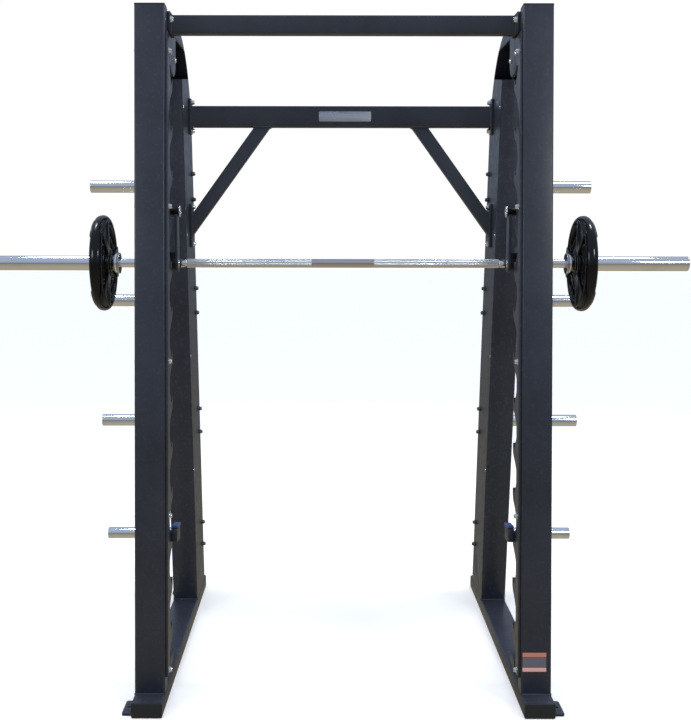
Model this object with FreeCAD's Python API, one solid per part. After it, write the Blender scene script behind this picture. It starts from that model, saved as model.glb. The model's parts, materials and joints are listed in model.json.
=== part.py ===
"""Smith machine: two leaning side frames, a counterbalanced bar on guide rods, catch hooks and storage pegs.

Frame: +X to the user's right, +Y to the rear, +Z up. The origin is on the floor, at the middle of the base.
Millimetres and degrees. Pieces are made on the right side and mirrored to the left.
"""
import FreeCAD, Part
import math
import os

from FreeCAD import Vector

# ---- side frames ----
side_inner = 585.0          # inner face of each side frame, from the centre plane
side_width = 100.0          # width of posts, base tubes, top tubes and towers
tube_wall = 4.0
weld_gap = 0.02             # gap left where two fixed pieces meet round a common surface
base_length = 1334.0
base_height = 50.0
end_cap_depth = 6.0
tab_setback = 70.0          # floor tabs, from each end of the base to their middle
tab_half_length = 50.0
tab_width = 34.0
tab_thickness = 8.0
tab_hole_radius = 5.5
post_setback = 75.0         # base front to post front, along the floor
post_lean = 5.84            # posts lean back
post_depth = 60.0
post_length = 2258.0        # along the post, to the underside of its cap
post_cap_height = 5.0
top_tube_bottom = 2230.0
top_tube_top = 2290.0
tower_setback = 1011.8      # base front to tower front, along the floor
tower_lean = 7.9            # towers lean forward
tower_depth = 262.0
tower_top = 2083.0          # along the tower
tower_wall = 3.0
panel_screw_heights = (566.0, 1036.0, 1511.0, 1985.0)
rear_bend_radius = 420.0    # the tower's back curves forward into the top tube

# ---- cross members ----
front_bar_size = 60.0
front_bar_setback = 395.0
front_bar_bottom = 2220.0
rear_bar_height = 80.0
rear_bar_depth = 50.0
rear_bar_setback = 918.0
rear_bar_middle = 2000.0
nameplate_x = (-85.0, 115.0)
nameplate_half_height = 19.0
nameplate_thickness = 2.0
brace_size = 50.0
brace_inner_end = 304.0     # where a brace's centre line meets the rear bar, from the centre plane
brace_foot_height = 1575.0
flange_thickness = 8.0

# ---- catch plates, along and square to the post ----
plate_thickness = 8.0
hook_count = 13
hook_pitch = 152.5
top_seat = 2035.0           # highest hook seat, along the post
seat_back = 100.0           # hook seat, behind the post's front face
seat_radius = 14.0
hook_tip_back = 126.0
neck_back = 60.0
plate_foot = 152.0          # the plate's lower end, below the lowest seat
plate_bolt_back = 37.0
plate_bolt_pitch = 511.5
plate_bolt_count = 5
first_plate_bolt = 71.0

# ---- guide rods and carriages ----
rod_x = 630.0
rod_radius = 15.0
rod_back = 210.0
rod_bottom = 32.0
rod_top = 2135.0
rod_foot_height = 45.0
bumper_radius = 30.0
bumper_height = 45.0
rod_head_height = 45.0
rod_head_back = (124.0, 255.0)
run_gap = 0.05              # radial running clearance
carriage_x = (600.0, 662.0)
carriage_back = (132.0, 240.0)
carriage_half_height = 60.0
linear_bush_radius = 22.5
bar_bush_radius = 21.0

# ---- bar ----
shaft_radius = 15.0
shaft_half_length = 1165.0
bar_back = 160.0
rest_hook = 3               # the latch stands level with this hook, counted from the top
latch_lift = 14.0           # the latch swings in this far above its seat
latch_reach = 175.0         # bar axis to latch pin axis
latch_rest_angle = 6.2      # forward tilt of the latch lever at rest
latch_pin_radius = 13.5
lever_x = (560.0, 569.0)
latch_disc_x = (551.5, 555.5)
latch_pin_end = 598.0
clamp_x = (571.0, 596.0)
collar_screw_x = 583.0
collar_screw_drop = 6.5     # below the bar's axis
clamp_radius = 24.0
clamp_lug_half = 18.0
clamp_lug_height = 38.0     # the clamp's lug above the bar's axis
sleeve_radius = 25.0
sleeve_wall = 3.0
collar_radius = 36.0
collar_x = (760.0, 790.0)
collar_overlap = 12.0       # the sleeve's inner end sits this far inside its collar
collar_neck_radius = 33.0
collar_flange_width = 4.5
sleeve_tip = 1178.0
weight_x = (795.5, 835.5)
weight_radius = 162.5
weight_bore_radius = 25.1
grip_inner = 92.0
grip_outer = 126.0
grip_half_angle = 26.0
grip_angles = (66, 186, 306)
rim_rounding = 12.0
web_recess = 6.0
web_radii = (140.0, 50.0)
land_height = 4.0
land_radius = 148.0
land_half_angle = 21.0
hub_radius = 34.0
core_radius = 150.0
core_thickness = 21.0

# ---- storage pegs, along and square to the tower ----
peg_radius = 24.0
peg_tip = 983.0
peg_back = 212.0
peg_heights = (204.0, 709.0, 1216.0, 1672.0)
peg_bolt_offset = 50.0

# ---- counterbalance ----
cable_x = 635.0
cable_radius = 2.5
cable_back = 262.0          # front run, behind the post's front face
pulley_pitch_radius = 40.0
pulley_rim_radius = 44.0
pulley_half_width = 9.0
pulley_height = 2174.0
pulley_axle_radius = 6.0
counterweight_depth = (14.0, 119.0)
counterweight_foot = 800.0
counterweight_height = 160.0
counterweight_cable_depth = 60.0
counterweight_rod_depth = 98.0
counterweight_rod_radius = 8.0

# ---- safety stops ----
stop_hook = 10
stop_x = (556.0, 575.5)
stop_back = (84.0, 160.0)
stop_low = 24.0             # body below and above its pin's axis
stop_high = 22.0
pad_thickness = 11.0

# ---- blank label on the right post ----
label_x = (590.0, 668.0)
label_along = (69.5, 138.0)
label_thickness = 0.4

# ---- derived ----
side_outer = side_inner + side_width
front_edge = -base_length / 2
post_front = front_edge + post_setback
tower_front = front_edge + tower_setback
lean = math.radians(post_lean)
tower_tilt = math.radians(tower_lean)
plate_x = (side_inner - plate_thickness, side_inner)
rest_seat = top_seat - rest_hook * hook_pitch
hooked_drop = math.sqrt(latch_reach**2 - (bar_back - seat_back)**2)
bar_height = rest_seat + latch_lift - hooked_drop
tower_rear = tower_front + tower_depth / math.cos(tower_tilt)
bend_z = top_tube_top - rear_bend_radius
bend_y = (tower_rear - (bend_z - base_height) * math.tan(tower_tilt)
          - rear_bend_radius / math.cos(tower_tilt))

X_AXIS = Vector(1, 0, 0)
Y_AXIS = Vector(0, 1, 0)
Z_AXIS = Vector(0, 0, 1)
nodes = {}


# ---- helpers ----
def on_post(shape):
    """Takes a shape from post coordinates (X, back from the front face, up along the post) to the frame."""
    placed = shape.copy()
    placed.rotate(Vector(0, 0, 0), X_AXIS, -post_lean)
    placed.translate(Vector(0, post_front, base_height))
    return placed


def on_tower(shape):
    """Takes a shape from tower coordinates (X, back from its front, up along the tower) to the frame."""
    placed = shape.copy()
    placed.rotate(Vector(0, 0, 0), X_AXIS, tower_lean)
    placed.translate(Vector(0, tower_front, base_height))
    return placed


def post_yz(back, along):
    """Frame Y and Z of a point in post coordinates."""
    y = post_front + back * math.cos(lean) + along * math.sin(lean)
    z = base_height - back * math.sin(lean) + along * math.cos(lean)
    return y, z


def tower_yz(back, along):
    """Frame Y and Z of a point in tower coordinates."""
    y = tower_front + back * math.cos(tower_tilt) - along * math.sin(tower_tilt)
    z = base_height + back * math.sin(tower_tilt) + along * math.cos(tower_tilt)
    return y, z


def post_along(back, z):
    """Distance along the post at which a line that far back reaches a height."""
    return (z - base_height + back * math.sin(lean)) / math.cos(lean)


def tower_along(back, z):
    """Distance along the tower at which a line that far back reaches a height."""
    return (z - base_height - back * math.sin(tower_tilt)) / math.cos(tower_tilt)


def block(x, y, z):
    """A box from three pairs of limits."""
    return Part.makeBox(x[1] - x[0], y[1] - y[0], z[1] - z[0], Vector(x[0], y[0], z[0]))


def rod(radius, x, y, z):
    """A cylinder along X between two X limits."""
    return Part.makeCylinder(radius, x[1] - x[0], Vector(x[0], y, z), X_AXIS)


def ring(outer, inner, x, y, z):
    """A ring along X between two X limits."""
    bore = rod(inner, (x[0] - 1, x[1] + 1), y, z)
    return rod(outer, x, y, z).cut(bore)


def upright(radius, x, y, z):
    """A cylinder along Z between two Z limits."""
    return Part.makeCylinder(radius, z[1] - z[0], Vector(x, y, z[0]), Z_AXIS)


def hollow(x, y, z, wall, open_axis):
    """A rectangular tube with its ends open along one axis."""
    inner = [[x[0] + wall, x[1] - wall], [y[0] + wall, y[1] - wall], [z[0] + wall, z[1] - wall]]
    outer = (x, y, z)
    inner[open_axis] = [outer[open_axis][0] - 1, outer[open_axis][1] + 1]
    return block(x, y, z).cut(block(*inner))


def rounded(shape, radius, axis):
    """Rounds the straight edges that run along an axis."""
    edges = []
    for edge in shape.Edges:
        if isinstance(edge.Curve, Part.Line):
            along = edge.Vertexes[1].Point.sub(edge.Vertexes[0].Point).normalize()
            if abs(along.dot(axis)) > 0.999:
                edges.append(edge)
    return shape.makeFillet(radius, edges)


def rims(shape, low=-2000, high=2000):
    """The round edges that lie square to X, between two X limits."""
    found = []
    for edge in shape.Edges:
        box = edge.BoundBox
        if edge.Closed and box.XLength < 0.1 and low < box.XMin < high:
            found.append(edge)
    return found


def prism(outline, x):
    """Extrudes a closed outline of edges, given in the YZ plane, between two X limits."""
    face = Part.Face(Part.Wire(outline))
    face.translate(Vector(x[0], 0, 0))
    return face.extrude(Vector(x[1] - x[0], 0, 0))


def flat(y, z):
    return Vector(0, y, z)


def line(start, end):
    return Part.makeLine(start, end)


def arc(start, middle, end):
    return Part.Arc(start, middle, end).toShape()


def mirrored(shape):
    return shape.mirror(Vector(0, 0, 0), X_AXIS)


def group(shapes):
    return shapes[0] if len(shapes) == 1 else Part.makeCompound(shapes)


def add(name, shapes):
    """Adds a node made of one or more solids."""
    nodes[name] = group(shapes)


def add_pair(name, shapes):
    """Adds the right-hand node and its mirror image on the left."""
    add("right_" + name, shapes)
    add("left_" + name, [mirrored(shape) for shape in shapes])


def add_both(name, shapes):
    """Adds one node that holds the solids of both sides."""
    add(name, shapes + [mirrored(shape) for shape in shapes])


def bolt_head(radius, height, inner_face, y, z):
    """A low round head with a hexagon socket, standing on a face towards the centre plane."""
    head = rod(radius, (inner_face - height, inner_face), y, z)
    edge = min(height * 0.4, radius * 0.3)
    head = head.makeFillet(edge, rims(head, high=inner_face - height / 2))
    corners = []
    for index in range(7):
        turn = math.radians(60 * index)
        corners.append(flat(y + radius * 0.5 * math.cos(turn), z + radius * 0.5 * math.sin(turn)))
    sides = [line(corners[index], corners[index + 1]) for index in range(6)]
    return head.cut(prism(sides, (inner_face - height - 1, inner_face - height * 0.5)))


# ---- base ----
def base():
    tube = hollow((side_inner, side_outer), (front_edge + end_cap_depth, -front_edge - end_cap_depth),
                  (0, base_height), tube_wall, 1)
    add_both("base_tubes", [tube])
    caps = []
    for y in ((front_edge, front_edge + end_cap_depth), (-front_edge - end_cap_depth, -front_edge)):
        cap = rounded(block((side_inner, side_outer), y, (0, base_height)), 5, Y_AXIS)
        caps.append(cap)
    add_both("base_end_caps", caps)
    tabs = []
    for middle in (front_edge + tab_setback, -front_edge - tab_setback):
        y = (middle - tab_half_length, middle + tab_half_length)
        tab = rounded(block((side_outer, side_outer + tab_width), y, (0, tab_thickness)), 7, Z_AXIS)
        tab = tab.fuse(block((side_outer, side_outer + 10), y, (0, tab_thickness))).removeSplitter()
        tabs.append(tab.cut(upright(tab_hole_radius, side_outer + tab_width / 2, middle, (-1, 9))))
    add_both("floor_tabs", tabs)


# ---- posts, top tubes, towers ----
def above(z):
    """A block that covers everything above a height."""
    return block((-1500, 1500), (-1500, 1500), (z, 4000))


def posts():
    tube = hollow((side_inner, side_outer), (0, post_depth), (-40, post_length), tube_wall, 2)
    tube = on_post(tube).common(above(base_height))
    add_both("posts", [tube])
    cap_z = (post_length, post_length + post_cap_height)
    cap = rounded(block((side_inner, side_outer), (0, post_depth), cap_z), 4, Z_AXIS)
    plug = block((side_inner + tube_wall + 0.5, side_outer - tube_wall - 0.5),
                 (tube_wall + 0.5, post_depth - tube_wall - 0.5), (post_length - 20, post_length))
    add_both("post_caps", [on_post(cap.fuse(plug))])


def side_outline(inset, z_low, z_high):
    """The side view of a tower and the bend above it, from one height to another, moved in from its skin."""
    radius = rear_bend_radius - inset
    y_low, z_start = tower_yz(inset, tower_along(inset, z_low))
    y_high, z_end = tower_yz(inset, tower_along(inset, z_high))
    tangent = flat(bend_y + radius * math.cos(tower_tilt), bend_z + radius * math.sin(tower_tilt))
    end = flat(bend_y + math.sqrt(radius**2 - (z_end - bend_z)**2), z_end)
    turned = (tower_tilt + math.atan2(z_end - bend_z, end.y - bend_y)) / 2
    middle = flat(bend_y + radius * math.cos(turned), bend_z + radius * math.sin(turned))
    rear = tangent.y + (tangent.z - z_start) * math.tan(tower_tilt)
    return [line(flat(y_low, z_start), flat(y_high, z_end)), line(flat(y_high, z_end), end),
            arc(end, middle, tangent), line(tangent, flat(rear, z_start)),
            line(flat(rear, z_start), flat(y_low, z_start))]


def towers():
    high = top_tube_bottom - 5
    cover = on_tower(block((0, 1000), (-200, 600), (-200, tower_top)))
    skin = (side_inner, side_outer)
    inside = (side_inner + tower_wall, side_outer - tower_wall)
    shell = prism(side_outline(0, base_height, high), skin)
    shell = shell.cut(prism(side_outline(tower_wall, base_height - 20, high + 2), inside))
    front = on_tower(block(inside, (-5, tower_wall), (-50, tower_top + 50)))
    shell = shell.common(cover).cut(front)
    for along in peg_heights:
        for offset in (-peg_bolt_offset, peg_bolt_offset):
            hole = rod(5 + weld_gap, (side_inner - 1, side_outer + 1), peg_back, along + offset)
            shell = shell.cut(on_tower(hole))
    add_both("tower_channels", [shell])

    low = tower_along(0, base_height) + 1
    gap = 0.2
    panel_x = (inside[0] + gap, inside[1] - gap)
    panel = block(panel_x, (0, tower_wall), (low, tower_top))
    for x in ((panel_x[0], panel_x[0] + tower_wall), (panel_x[1] - tower_wall, panel_x[1])):
        panel = panel.fuse(block(x, (tower_wall - 1, 12), (low, tower_top)))
    add_both("tower_front_panels", [on_tower(panel.removeSplitter())])
    screws = [on_tower(bolt_head(5, 3, side_inner, 8, along)) for along in panel_screw_heights]
    add_both("panel_screws", screws)


def hoods():
    """The shroud over the pulleys: a curved back and an outer side wall, open inwards and forwards."""
    wall = tower_wall
    cut = on_tower(block((0, 1000), (-200, 600), (-200, tower_top + weld_gap)))
    skin = (side_inner, side_outer)
    high = top_tube_bottom
    solid = prism(side_outline(0, 1900, high), skin)
    solid = solid.cut(prism(side_outline(wall, 1880, high + 2), (side_inner - 1, side_outer - wall)))
    front = on_tower(block((side_inner - 1, side_outer - wall), (-60, 60), (1800, 2400)))
    add_both("hoods", [solid.cut(cut).cut(front)])


def top_tubes():
    y_start, _ = post_yz(post_depth, post_along(post_depth, top_tube_bottom))
    low = flat(y_start, top_tube_bottom)
    y_top, _ = post_yz(post_depth, post_along(post_depth, top_tube_top))
    high = flat(y_top, top_tube_top)
    crown = flat(bend_y, top_tube_top)
    drop = top_tube_bottom - bend_z
    tail = flat(bend_y + math.sqrt(rear_bend_radius**2 - drop**2), top_tube_bottom)
    half = math.atan2(drop, tail.y - bend_y) / 2 + math.pi / 4
    middle = flat(bend_y + rear_bend_radius * math.cos(half),
                  bend_z + rear_bend_radius * math.sin(half))
    outline = [line(low, high), line(high, crown), arc(crown, middle, tail), line(tail, low)]
    tube = prism(outline, (side_inner, side_outer))
    inner = block((side_inner + tube_wall, side_outer - tube_wall), (post_front, bend_y + 60),
                  (top_tube_bottom + tube_wall, top_tube_top - tube_wall))
    add_both("top_tubes", [tube.cut(inner)])


# ---- cross members ----
def flanged_tube(y, z, flange_y, flange_z):
    """A tube between the side frames, welded to a flange at each end."""
    end = side_inner - flange_thickness
    tube = hollow((-end, end), y, z, tube_wall, 0)
    for x in ((end, side_inner), (-side_inner, -end)):
        tube = tube.fuse(rounded(block(x, flange_y, flange_z), 8, X_AXIS))
    return tube.removeSplitter()


def cross_members():
    y = (front_edge + front_bar_setback, front_edge + front_bar_setback + front_bar_size)
    z = (front_bar_bottom, front_bar_bottom + front_bar_size)
    end = side_inner - flange_thickness
    flange_y = (y[0] - 30, y[1] + 30)
    flange_z = (z[0] - 2, z[1] + 8)
    add("front_crossbar", [flanged_tube(y, z, flange_y, flange_z)])
    bolts = []
    for bolt_y in (flange_y[0] + 14, flange_y[1] - 14):
        bolts.append(bolt_head(10, 12, end, bolt_y, z[0] + 42))

    y = (front_edge + rear_bar_setback, front_edge + rear_bar_setback + rear_bar_depth)
    z = (rear_bar_middle - rear_bar_height / 2, rear_bar_middle + rear_bar_height / 2)
    middle = (y[0] + y[1]) / 2
    flange_y = (y[0] - 8, y[1] + 4)
    flange_z = (z[0] - 26, z[1] + 28)
    add("rear_crossbar", [flanged_tube(y, z, flange_y, flange_z)])
    for bolt_z in (flange_z[0] + 13, flange_z[1] - 13):
        bolts.append(bolt_head(10, 12, end, middle, bolt_z))

    start = Vector(brace_inner_end, middle, z[0])
    finish = Vector(side_inner, middle, brace_foot_height)
    run = finish.sub(start)
    tilt = math.degrees(math.atan2(run.z, run.x))
    half = brace_size / 2
    brace = hollow((-80, run.Length + 80), (-half, half), (-half, half), tube_wall, 0)
    brace.rotate(Vector(0, 0, 0), Y_AXIS, -tilt)
    brace.translate(start)
    foot_x = side_inner - flange_thickness
    room = block((0, foot_x), (-1500, 1500), (0, z[0]))
    brace = brace.common(room)
    foot = rounded(block((foot_x, side_inner), (middle - 40, middle + 40),
                         (brace_foot_height - 75, brace_foot_height + 93)), 10, X_AXIS)
    add_both("rear_braces", [brace.fuse(foot).removeSplitter()])
    for bolt_z in (brace_foot_height - 62, brace_foot_height + 80):
        bolts.append(bolt_head(9, 10, foot_x, middle, bolt_z))
    add_both("crossbar_bolts", bolts)
    plate_z = (rear_bar_middle - nameplate_half_height, rear_bar_middle + nameplate_half_height)
    plate = block(nameplate_x, (y[0] - nameplate_thickness, y[0]), plate_z)
    add("nameplate", [rounded(plate, 4, Y_AXIS)])


# ---- catch plates ----
def hook_edges(seat):
    """The edges of one hook, from the neck below it to the neck above."""
    def at(back, up):
        return flat(back, seat + up)
    edges = [arc(at(neck_back, -84), at(82, -62), at(104, -46)),
             arc(at(104, -46), at(121, -32), at(hook_tip_back + 1, -12)),
             line(at(hook_tip_back + 1, -12), at(hook_tip_back, 0)),
             arc(at(hook_tip_back, 0), at(122, 4), at(117.5, 1.5)),
             line(at(117.5, 1.5), at(seat_back + seat_radius, -1)),
             arc(at(seat_back + seat_radius, -1), at(seat_back, -seat_radius),
                 at(seat_back - seat_radius, -1)),
             line(at(seat_back - seat_radius, -1), at(neck_back, 26))]
    return edges


def catch_plates():
    front = 10
    low = top_seat - (hook_count - 1) * hook_pitch - plate_foot
    high = post_along(60, top_tube_bottom - 22)
    edges = [line(flat(front, low), flat(neck_back, low))]
    last = flat(neck_back, low)
    for index in reversed(range(hook_count)):
        seat = top_seat - index * hook_pitch
        edges.append(line(last, flat(neck_back, seat - 84)))
        edges += hook_edges(seat)
        last = flat(neck_back, seat + 26)
    shoulder = top_seat + 52
    edges.append(line(last, flat(neck_back, shoulder - 10)))
    edges.append(line(flat(neck_back, shoulder - 10), flat(103, shoulder)))
    edges.append(line(flat(103, shoulder), flat(103, high)))
    edges.append(line(flat(103, high), flat(front, high)))
    edges.append(line(flat(front, high), flat(front, low)))
    add_both("catch_plates", [on_post(prism(edges, plate_x))])
    bolts = []
    for index in range(plate_bolt_count):
        along = first_plate_bolt + index * plate_bolt_pitch
        bolts.append(on_post(bolt_head(8.5, 11, plate_x[0], plate_bolt_back, along)))
        bolts.append(on_post(mirrored(bolt_head(8.5, 5, -side_outer, plate_bolt_back, along))))
    add_both("catch_plate_bolts", bolts)


# ---- guide rods ----
def guide_rods():
    guide = upright(rod_radius, rod_x, rod_back, (rod_bottom, rod_top))
    add_both("guide_rods", [on_post(guide)])
    sheath = upright(rod_radius + weld_gap, rod_x, rod_back, (rod_bottom - weld_gap, rod_top + 50))
    sheath = on_post(sheath)
    y, _ = post_yz(rod_back, rod_bottom + 20)
    foot = block((rod_x - 38, rod_x + 38), (y - 42, y + 42), (base_height, base_height + rod_foot_height))
    add_both("rod_feet", [rounded(foot, 8, Z_AXIS).cut(sheath)])
    bumper_low = post_along(rod_back + bumper_radius, base_height + rod_foot_height) + 1
    bumper = upright(bumper_radius, rod_x, rod_back, (bumper_low, bumper_low + bumper_height))
    bumper = bumper.cut(upright(22, rod_x, rod_back, (bumper_low + 18, bumper_low + 27))).cut(
        upright(rod_radius + run_gap, rod_x, rod_back, (bumper_low - 1, bumper_low + 60)))
    add_both("rod_bumpers", [on_post(bumper)])

    block_low = rod_top - rod_head_height
    head = block((side_inner + 8 + weld_gap, rod_x + 32), rod_head_back, (block_low, rod_top + 4))
    add_both("rod_head_blocks", [on_post(rounded(head, 6, Z_AXIS)).cut(sheath)])
    hanger_low = block_low - 12
    high = post_along(180, top_tube_bottom)
    edges = [line(flat(118, high + 40), flat(118, hanger_low + 45)),
             arc(flat(118, hanger_low + 45), flat(140, hanger_low + 8), flat(192, hanger_low)),
             arc(flat(192, hanger_low), flat(244, hanger_low + 8), flat(266, hanger_low + 45)),
             line(flat(266, hanger_low + 45), flat(266, high + 40)),
             line(flat(266, high + 40), flat(118, high + 40))]
    hanger = on_post(prism(edges, (side_inner, side_inner + 8))).cut(above(top_tube_bottom))
    add_both("rod_hangers", [hanger])
    bolts = [on_post(bolt_head(8, 6, side_inner, back, rod_top + 2)) for back in (139, 245)]
    add_both("hanger_bolts", bolts)


# ---- bar, levers, sleeves, plates ----
def bar():
    shaft = rod(shaft_radius, (-shaft_half_length, shaft_half_length), bar_back, bar_height)
    add("bar_shaft", [on_post(shaft)])

    axis = Vector(0, bar_back, bar_height)
    pin_z = bar_height + latch_reach
    corners = [flat(bar_back - 27, bar_height), flat(bar_back - 21, pin_z - 9),
               flat(bar_back + 21, pin_z - 9), flat(bar_back + 27, bar_height)]
    sides = [line(corners[i], corners[(i + 1) % 4]) for i in range(4)]
    lever = prism(sides, lever_x).fuse(rod(30, lever_x, bar_back, bar_height)).removeSplitter()
    lever = lever.cut(rod(shaft_radius + weld_gap, (500, 650), bar_back, bar_height))
    lever = lever.cut(rod(latch_pin_radius + weld_gap, (500, 650), bar_back, pin_z))
    pin = rod(latch_pin_radius, (latch_disc_x[1], latch_pin_end), bar_back, pin_z)
    disc = rod(20, latch_disc_x, bar_back, pin_z)
    disc = disc.makeFillet(1.2, rims(disc))
    lug = block(clamp_x, (bar_back - clamp_lug_half, bar_back + clamp_lug_half),
                (bar_height, bar_height + clamp_lug_height))
    collar = rod(clamp_radius, clamp_x, bar_back, bar_height).fuse(rounded(lug, 4, X_AXIS)).removeSplitter()
    collar = collar.cut(rod(shaft_radius + weld_gap, (500, 650), bar_back, bar_height))
    screw_axis = Vector(0, -1, 0)
    screw_seat = Vector(collar_screw_x, bar_back - 20, bar_height - collar_screw_drop)
    screw = Part.makeCylinder(4.5, 6, screw_seat, screw_axis)
    collar = collar.cut(Part.makeCylinder(4.6, 20, screw_seat, screw_axis))

    def tilted(shape):
        turned = shape.copy()
        turned.rotate(axis, X_AXIS, latch_rest_angle)
        return on_post(turned)

    add_both("latch_levers", [tilted(lever)])
    add_both("latch_pins", [tilted(pin)])
    add_both("latch_discs", [tilted(disc)])
    add_both("latch_collars", [tilted(collar)])
    add_both("collar_screws", [tilted(screw)])


def sleeves():
    inner = sleeve_radius - sleeve_wall
    body = ring(sleeve_radius, inner, (collar_x[1] - collar_overlap, sleeve_tip - 6), bar_back, bar_height)
    flange_x = (collar_x[0], collar_x[0] + collar_flange_width)
    collar = rod(collar_radius, flange_x, bar_back, bar_height)
    collar = collar.makeFillet(1.5, rims(collar))
    collar = collar.fuse(rod(collar_neck_radius, (flange_x[0] + 3, collar_x[1]), bar_back, bar_height))
    recess_x = (collar_x[1] - collar_overlap - weld_gap, 900)
    collar = collar.cut(rod(sleeve_radius + weld_gap, recess_x, bar_back, bar_height))
    collar = collar.cut(rod(shaft_radius + 1, (700, 900), bar_back, bar_height))
    add_pair("sleeve", [on_post(body), on_post(collar)])
    bushes = []
    for x in ((796.0, 836.0), (1110.0, 1150.0)):
        bushes.append(on_post(ring(inner - weld_gap, shaft_radius + run_gap, x, bar_back, bar_height)))
    add_pair("sleeve_bushes", bushes)
    cap = rod(sleeve_radius, (sleeve_tip - 6 + weld_gap, sleeve_tip), bar_back, bar_height)
    add_pair("sleeve_cap", [on_post(cap.makeFillet(3, rims(cap, low=sleeve_tip - 1)))])


def grip_slot(angle, x, margin):
    """A curved hand slot with round ends, centred on an angle and widened by a margin."""
    inner = grip_inner - margin
    outer = grip_outer + margin
    middle = (inner + outer) / 2
    half = (outer - inner) / 2

    def at(radius, turn):
        return flat(radius * math.cos(math.radians(turn)), radius * math.sin(math.radians(turn)))

    def end(turn, side):
        tip = math.radians(turn + 90 * side)
        return at(middle, turn).add(flat(half * math.cos(tip), half * math.sin(tip)))

    low = angle - grip_half_angle
    high = angle + grip_half_angle
    edges = [arc(at(outer, low), at(outer, angle), at(outer, high)),
             arc(at(outer, high), end(high, 1), at(inner, high)),
             arc(at(inner, high), at(inner, angle), at(inner, low)),
             arc(at(inner, low), end(low, -1), at(outer, low))]
    return prism(edges, x)


def land(angle, x):
    """A raised sector between two hand slots."""
    def at(radius, turn):
        return flat(radius * math.cos(math.radians(turn)), radius * math.sin(math.radians(turn)))

    low = angle - land_half_angle
    high = angle + land_half_angle
    edges = [line(at(hub_radius, low), at(land_radius, low)),
             arc(at(land_radius, low), at(land_radius, angle), at(land_radius, high)),
             line(at(land_radius, high), at(hub_radius, high)),
             arc(at(hub_radius, high), at(hub_radius, angle), at(hub_radius, low))]
    return prism(edges, x)


def weight_plates():
    """Iron cores with a bore for the sleeve, moulded inside rubber bodies with three hand slots."""
    body = rod(weight_radius, weight_x, 0, 0)
    body = body.makeFillet(rim_rounding, rims(body))
    face_x = (weight_x[0] - land_height, weight_x[1] + land_height)
    web_x = (weight_x[0] + web_recess, weight_x[1] - web_recess)
    for x in ((weight_x[0] - 1, web_x[0]), (web_x[1], weight_x[1] + 1)):
        body = body.cut(ring(web_radii[0], web_radii[1], x, 0, 0))
    body = body.fuse(rod(web_radii[1], face_x, 0, 0))
    for angle in grip_angles:
        body = body.fuse(land(angle + 60, face_x))
    middle = (weight_x[0] + weight_x[1]) / 2
    core_x = (middle - core_thickness / 2, middle + core_thickness / 2)
    core = rod(core_radius, core_x, 0, 0)
    for angle in grip_angles:
        body = body.cut(grip_slot(angle, (weight_x[0] - 2, weight_x[1] + 2), 0))
        core = core.cut(grip_slot(angle, (core_x[0] - 2, core_x[1] + 2), 6))
    core = core.fuse(rod(hub_radius, face_x, 0, 0)).removeSplitter()
    body = body.cut(core).cut(rod(hub_radius, (700, 900), 0, 0))
    core = core.cut(rod(weight_bore_radius, (700, 900), 0, 0))
    placed = []
    for shape in (body, core):
        shape.translate(Vector(0, bar_back, bar_height))
        placed.append(on_post(shape))
    add_pair("weight_rubber", [placed[0]])
    add_pair("weight_core", [placed[1]])


# ---- carriages ----
def carriages():
    low = bar_height - carriage_half_height
    high = bar_height + carriage_half_height
    housing = block(carriage_x, carriage_back, (low, high))
    housing = rounded(housing, 10, X_AXIS)
    housing = housing.cut(rod(bar_bush_radius + weld_gap, (500, 700), bar_back, bar_height))
    housing = housing.cut(upright(linear_bush_radius + weld_gap, rod_x, rod_back, (low - 1, high + 1)))
    add_both("carriage_housings", [on_post(housing)])
    bush = ring(bar_bush_radius, shaft_radius + run_gap, (carriage_x[0] + 1, carriage_x[1] - 1), bar_back,
                bar_height)
    add_both("bar_bushes", [on_post(bush)])
    bushes = []
    for z in ((low + 2, low + 46), (high - 46, high - 2)):
        sleeve = upright(linear_bush_radius, rod_x, rod_back, z)
        sleeve = sleeve.cut(upright(rod_radius + run_gap, rod_x, rod_back, (z[0] - 1, z[1] + 1)))
        bushes.append(on_post(sleeve))
    add_both("linear_bushes", bushes)
    lug_back = (carriage_back[1] + weld_gap, cable_back + 12)
    lug = rounded(block((cable_x - 8, cable_x + 8), lug_back, (high - 60, high - 25)), 5, X_AXIS)
    add_both("cable_lugs", [on_post(lug)])


# ---- safety stops ----
def safety_stops():
    seat = top_seat - stop_hook * hook_pitch
    pin_z = seat - (seat_radius - latch_pin_radius) + weld_gap
    body = block(stop_x, stop_back, (pin_z - stop_low, pin_z + stop_high))
    body = rounded(body, 10, X_AXIS)
    pin = rod(latch_pin_radius, (stop_x[1] - 1, side_inner + 2), seat_back, pin_z)
    pin = pin.fuse(rod(latch_pin_radius + 5, (side_inner + 2, side_inner + 9), seat_back, pin_z))
    add_pair("stop_body", [on_post(body.fuse(pin).removeSplitter())])
    pad_low = pin_z + stop_high + weld_gap
    pad_back = (stop_back[0] + 4, stop_back[1] - 4)
    pad = block((stop_x[0] - 3, stop_x[1]), pad_back, (pad_low, pad_low + pad_thickness))
    add_pair("stop_pad", [on_post(rounded(pad, 4, X_AXIS))])


# ---- label ----
def label():
    add("label_sheet", [on_post(block(label_x, (-label_thickness, 0), label_along))])


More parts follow.
